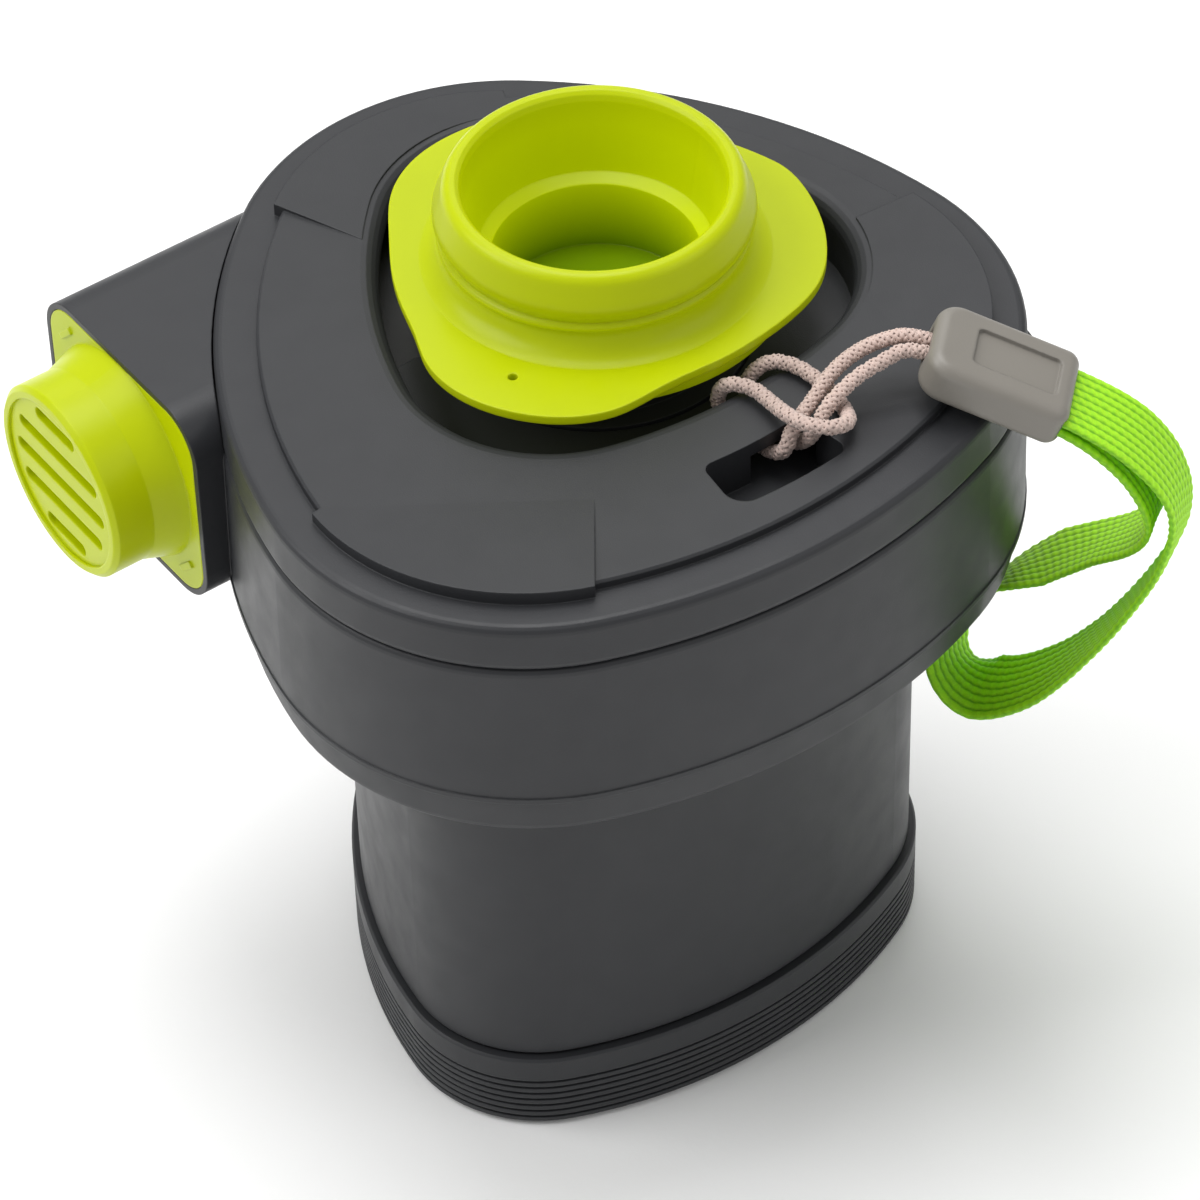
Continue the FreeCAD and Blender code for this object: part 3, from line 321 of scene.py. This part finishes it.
def make_materials():
    body = moulded("charcoal_plastic", (0.0275, 0.0285, 0.0315), painted_highlight=(0.066, 0.07, 0.075),
                   roughness=0.42, grain=5200.0, depth=0.02 * MM)
    body.surface.inputs["Specular IOR Level"].default_value = 0.32
    inner = moulded("inner_plastic", (0.03, 0.03, 0.032), painted_highlight=(0.06, 0.06, 0.06),
                    roughness=0.5, grain=4000.0, depth=0.02 * MM)
    fan = moulded("fan_plastic", (0.50, 0.50, 0.48), painted_highlight=(0.6, 0.6, 0.58),
                  roughness=0.42, grain=3000.0, depth=0.01 * MM)
    switch = moulded("switch_plastic", (0.012, 0.012, 0.013), painted_highlight=(0.04, 0.04, 0.04),
                     roughness=0.28, grain=4000.0, depth=0.008 * MM)
    clip = moulded("clip_plastic", (0.215, 0.20, 0.175), painted_highlight=(0.30, 0.285, 0.255),
                   roughness=0.40, grain=3200.0, depth=0.015 * MM, edge_radius=0.5 * MM)
    cord = moulded("cord_fibre", (0.62, 0.475, 0.42), painted_highlight=(0.72, 0.58, 0.53),
                   roughness=0.9, grain=9000.0, depth=0.03 * MM, edge_radius=0.05 * MM, blotch=0.3)
    cord.surface.inputs["Sheen Weight"].default_value = 0.3
    cell = moulded("cell_sleeve", (0.10, 0.11, 0.13), painted_highlight=(0.2, 0.2, 0.22),
                   roughness=0.35, grain=2000.0, depth=0.01 * MM)
    return {
        "body_plastic": body, "lime_plastic": glowing_lime("lime_plastic"), "inner_plastic": inner,
        "fan_plastic": fan, "switch_plastic": switch, "clip_plastic": clip, "cord_fabric": cord,
        "web_fabric": webbing_fibre("web_fibre_painted_shade", painted_shade=(0.12, 0.40, 0.0), painted_highlight=(0.42, 0.86, 0.01)),
        "zinc_steel": metal("zinc_steel", (0.62, 0.63, 0.64), roughness=0.3),
        "motor_can": metal("motor_can", (0.55, 0.55, 0.55), roughness=0.35),
        "cell_can": cell,
        "contact_brass": metal("contact_metal", (0.72, 0.66, 0.50), roughness=0.3)}


def dress_cad_nodes(materials):
    """Every CAD node takes the material of its slot in the record, except the adapter, which takes the
    lime with painted shade and painted glow in its bore.
    """
    slots = {s["node"]: s["material_slot"] for s in frame["record"]["subparts"]}
    special = {"adapter": adapter_lime_with_painted_shade().material}
    for node, obj in frame["nodes"].items():
        material = special.get(node, materials[slots[node]].material)
        obj.data.materials.clear()
        obj.data.materials.append(material)


# ---- wrist strap -------------------------------------------------------------------------
def smooth_line(points, spacing):
    """Evenly spaced points along the NURBS curve whose control points are given, in mm."""
    data = bpy.data.curves.new("route", "CURVE")
    data.dimensions = "3D"
    spline = data.splines.new("NURBS")
    spline.points.add(len(points) - 1)
    for knot, place in zip(spline.points, points):
        knot.co = (*(Vector(place[:3]) * MM), 1.0)
    spline.order_u = 3
    spline.use_endpoint_u = True
    spline.resolution_u = ROUTE_RESOLUTION
    route = bpy.data.objects.new("route", data)
    line = bpy.data.meshes.new_from_object(route)
    dense = [v.co.copy() for v in line.vertices]
    bpy.data.objects.remove(route)
    bpy.data.meshes.remove(line)
    bpy.data.curves.remove(data)
    return even_points(dense, spacing)


def even_points(dense, spacing):
    """Points a set distance apart along a dense line, with how far along it each one is (0 to 1)."""
    walked = [0.0]
    for a, b in zip(dense, dense[1:]):
        walked.append(walked[-1] + (b - a).length)
    count = round(walked[-1] / spacing)
    places, shares = [], []
    k = 0
    for n in range(count + 1):
        wanted = walked[-1] * n / count
        while k < len(dense) - 2 and walked[k + 1] < wanted:
            k += 1
        part = (wanted - walked[k]) / max(walked[k + 1] - walked[k], 1e-12)
        places.append(dense[k].lerp(dense[k + 1], min(part, 1.0)))
        shares.append((k + part) / (len(dense) - 1))
    return places, shares


def travelling_frames(line):
    """Two directions square to the line at each point, turned as little as possible."""
    headings = []
    for k in range(len(line)):
        headings.append((line[min(k + 1, len(line) - 1)] - line[max(k - 1, 0)]).normalized())
    side = headings[0].orthogonal().normalized()
    frames = []
    for heading in headings:
        side = (side - heading * side.dot(heading)).normalized()
        frames.append((side.copy(), heading.cross(side)))
    return frames


def new_piece(name, verts, faces, material):
    mesh = bpy.data.meshes.new(name)
    mesh.from_pydata(verts, [], faces)
    mesh.polygons.foreach_set("use_smooth", [True] * len(mesh.polygons))
    mesh.materials.append(material)
    piece = bpy.data.objects.new(name, mesh)
    bpy.context.collection.objects.link(piece)
    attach(piece, "housing")
    return piece


def add_tube(verts, faces, rings):
    """Closes a list of equal rings of points into a capped tube."""
    first = len(verts)
    sides = len(rings[0])
    for ring in rings:
        verts.extend(ring)
    for k in range(len(rings) - 1):
        for n in range(sides):
            a = first + k * sides + n
            b = first + k * sides + (n + 1) % sides
            faces.append((a, b, b + sides, a + sides))
    faces.append(tuple(first + n for n in reversed(range(sides))))
    faces.append(tuple(first + (len(rings) - 1) * sides + n for n in range(sides)))


def braided_cord(material):
    """Cord of strands wound both ways over and under each other, round a plain core."""
    line, _ = smooth_line(CORD_ROUTE, BRAID_STEP)
    frames = travelling_frames(line)
    verts, faces = [], []
    core = []
    for spot, (side, up) in zip(line, frames):
        ring = []
        for n in range(CORE_SIDES):
            turn = 2 * math.pi * n / CORE_SIDES
            ring.append(spot + (side * math.cos(turn) + up * math.sin(turn)) * CORE_RADIUS)
        core.append(ring)
    add_tube(verts, faces, core)
    for way in (1, -1):
        for strand in range(STRANDS):
            rings = []
            for k, (spot, (side, up)) in enumerate(zip(line, frames)):
                lays = k * BRAID_STEP / BRAID_LAY
                wound = 2 * math.pi * (way * lays + strand / STRANDS)
                weave = math.cos(2 * math.pi * lays * STRANDS + math.pi * strand)
                out = side * math.cos(wound) + up * math.sin(wound)
                round_way = up * math.cos(wound) - side * math.sin(wound)
                middle = spot + out * (STRAND_OUT + STRAND_WEAVE * way * weave)
                ring = []
                for n in range(STRAND_SIDES):
                    turn = 2 * math.pi * n / STRAND_SIDES
                    ring.append(middle + out * math.sin(turn) * STRAND_HALF_THICK
                                + round_way * math.cos(turn) * STRAND_HALF_WIDE)
                rings.append(ring)
            add_tube(verts, faces, rings)
    piece = new_piece("braided_cord", verts, faces, material)
    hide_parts("strap_cord")


def width_way(share):
    """Direction of the web's width at a share of its route, between the directions of its points."""
    last = len(WEB_ROUTE) - 1
    place = share * (last - 1)
    stops = [0.0] + [k - 0.5 for k in range(1, last)] + [last - 1.0]
    k = 0
    while k < last - 1 and stops[k + 1] < place:
        k += 1
    part = (place - stops[k]) / (stops[k + 1] - stops[k])
    return Vector(WEB_ROUTE[k][3:]).lerp(Vector(WEB_ROUTE[k + 1][3:]), min(max(part, 0.0), 1.0))


def woven_webbing(material):
    """Flat web with ribs along it, each a row of stitches, and rounded selvedges."""
    line, shares = smooth_line(WEB_ROUTE, WEB_STITCH / STITCH_ROWS)
    columns = RIB_COLUMNS * WEB_RIBS
    verts, faces, uvs = [], [], []
    ring_size = 2 * columns
    for k, (spot, share) in enumerate(zip(line, shares)):
        heading = (line[min(k + 1, len(line) - 1)] - line[max(k - 1, 0)]).normalized()
        across = width_way(share)
        across = (across - heading * across.dot(heading)).normalized()
        face_way = heading.cross(across)
        for face in (1, -1):
            for n in range(columns):
                u = (n + 0.5) / columns
                if face < 0:
                    u = 1.0 - u
                rib = math.floor(u * WEB_RIBS)
                inside = u * WEB_RIBS - rib
                crown = math.sin(math.pi * inside) ** 0.7
                phase = k / STITCH_ROWS + 0.5 * (rib % 2) + face * STITCH_SLANT * (inside - 0.5)
                stitch = 0.5 + 0.5 * math.cos(2 * math.pi * phase)
                edge = min(1.0, min(u, 1.0 - u) * columns / SELVEDGE_COLUMNS)
                height = WEB_CORE * math.sqrt(edge) + RIB_RISE * crown * (0.45 + 0.55 * stitch)
                verts.append(spot + across * (u - 0.5) * WEB_WIDTH + face_way * face * height)
                uvs.append((u, phase))
    for k in range(len(line) - 1):
        for n in range(ring_size):
            a = k * ring_size + n
            b = k * ring_size + (n + 1) % ring_size
            faces.append((a, b, b + ring_size, a + ring_size))
    faces.append(tuple(reversed(range(ring_size))))
    faces.append(tuple(range((len(line) - 1) * ring_size, len(line) * ring_size)))
    piece = new_piece("woven_webbing", verts, faces, material)
    layer = piece.data.uv_layers.new(name="weave")
    for loop in piece.data.loops:
        layer.data[loop.index].uv = uvs[loop.vertex_index]
    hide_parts("strap_webbing")


# ---- stage -------------------------------------------------------------------------------
def add_stage():
    floor_mesh = bpy.data.meshes.new("floor")
    corners = [(x * FLOOR_HALF, y * FLOOR_HALF, 0) for x, y in ((-1, -1), (1, -1), (1, 1), (-1, 1))]
    floor_mesh.from_pydata(corners, [], [(0, 1, 2, 3)])
    floor = bpy.data.objects.new("floor", floor_mesh)
    bpy.context.collection.objects.link(floor)
    s = Shader("floor_paper", (0.93, 0.93, 0.925), 0.9)
    s.bump(s.noise(400.0), 0.05 * MM)
    floor.data.materials.append(s.material)

    world = bpy.data.worlds.new("studio")
    world.use_nodes = True
    sky = world.node_tree.nodes["Background"]
    sky.inputs["Color"].default_value = (1.0, 1.0, 1.0, 1.0)
    sky.inputs["Strength"].default_value = WORLD_LIGHT
    bpy.context.scene.world = world
    for name, spot, size, power in LAMPS:
        data = bpy.data.lights.new(name, "AREA")
        data.size = size
        data.energy = power
        lamp = bpy.data.objects.new(name, data)
        lamp.location = spot
        lamp.rotation_euler = (LAMP_AIM - Vector(spot)).to_track_quat("-Z", "Y").to_euler()
        bpy.context.collection.objects.link(lamp)


def add_camera():
    data = bpy.data.cameras.new("camera")
    data.lens = CAMERA_LENS
    data.clip_start, data.clip_end = CAMERA_CLIP
    camera = bpy.data.objects.new("camera", data)
    turn = (Matrix.Rotation(math.radians(CAMERA_AZIMUTH + 90), 4, "Z")
            @ Matrix.Rotation(math.radians(90 - CAMERA_ELEVATION), 4, "X")
            @ Matrix.Rotation(math.radians(CAMERA_ROLL), 4, "Z"))
    back = turn @ Vector((0, 0, 1))
    camera.matrix_world = Matrix.Translation(CAMERA_TARGET + back * CAMERA_DISTANCE) @ turn
    bpy.context.collection.objects.link(camera)
    bpy.context.scene.camera = camera


add_camera()
add_stage()
bpy.context.scene.view_settings.view_transform = "Standard"
materials = make_materials()
dress_cad_nodes(materials)
braided_cord(materials["cord_fabric"].material)
woven_webbing(materials["web_fabric"].material)
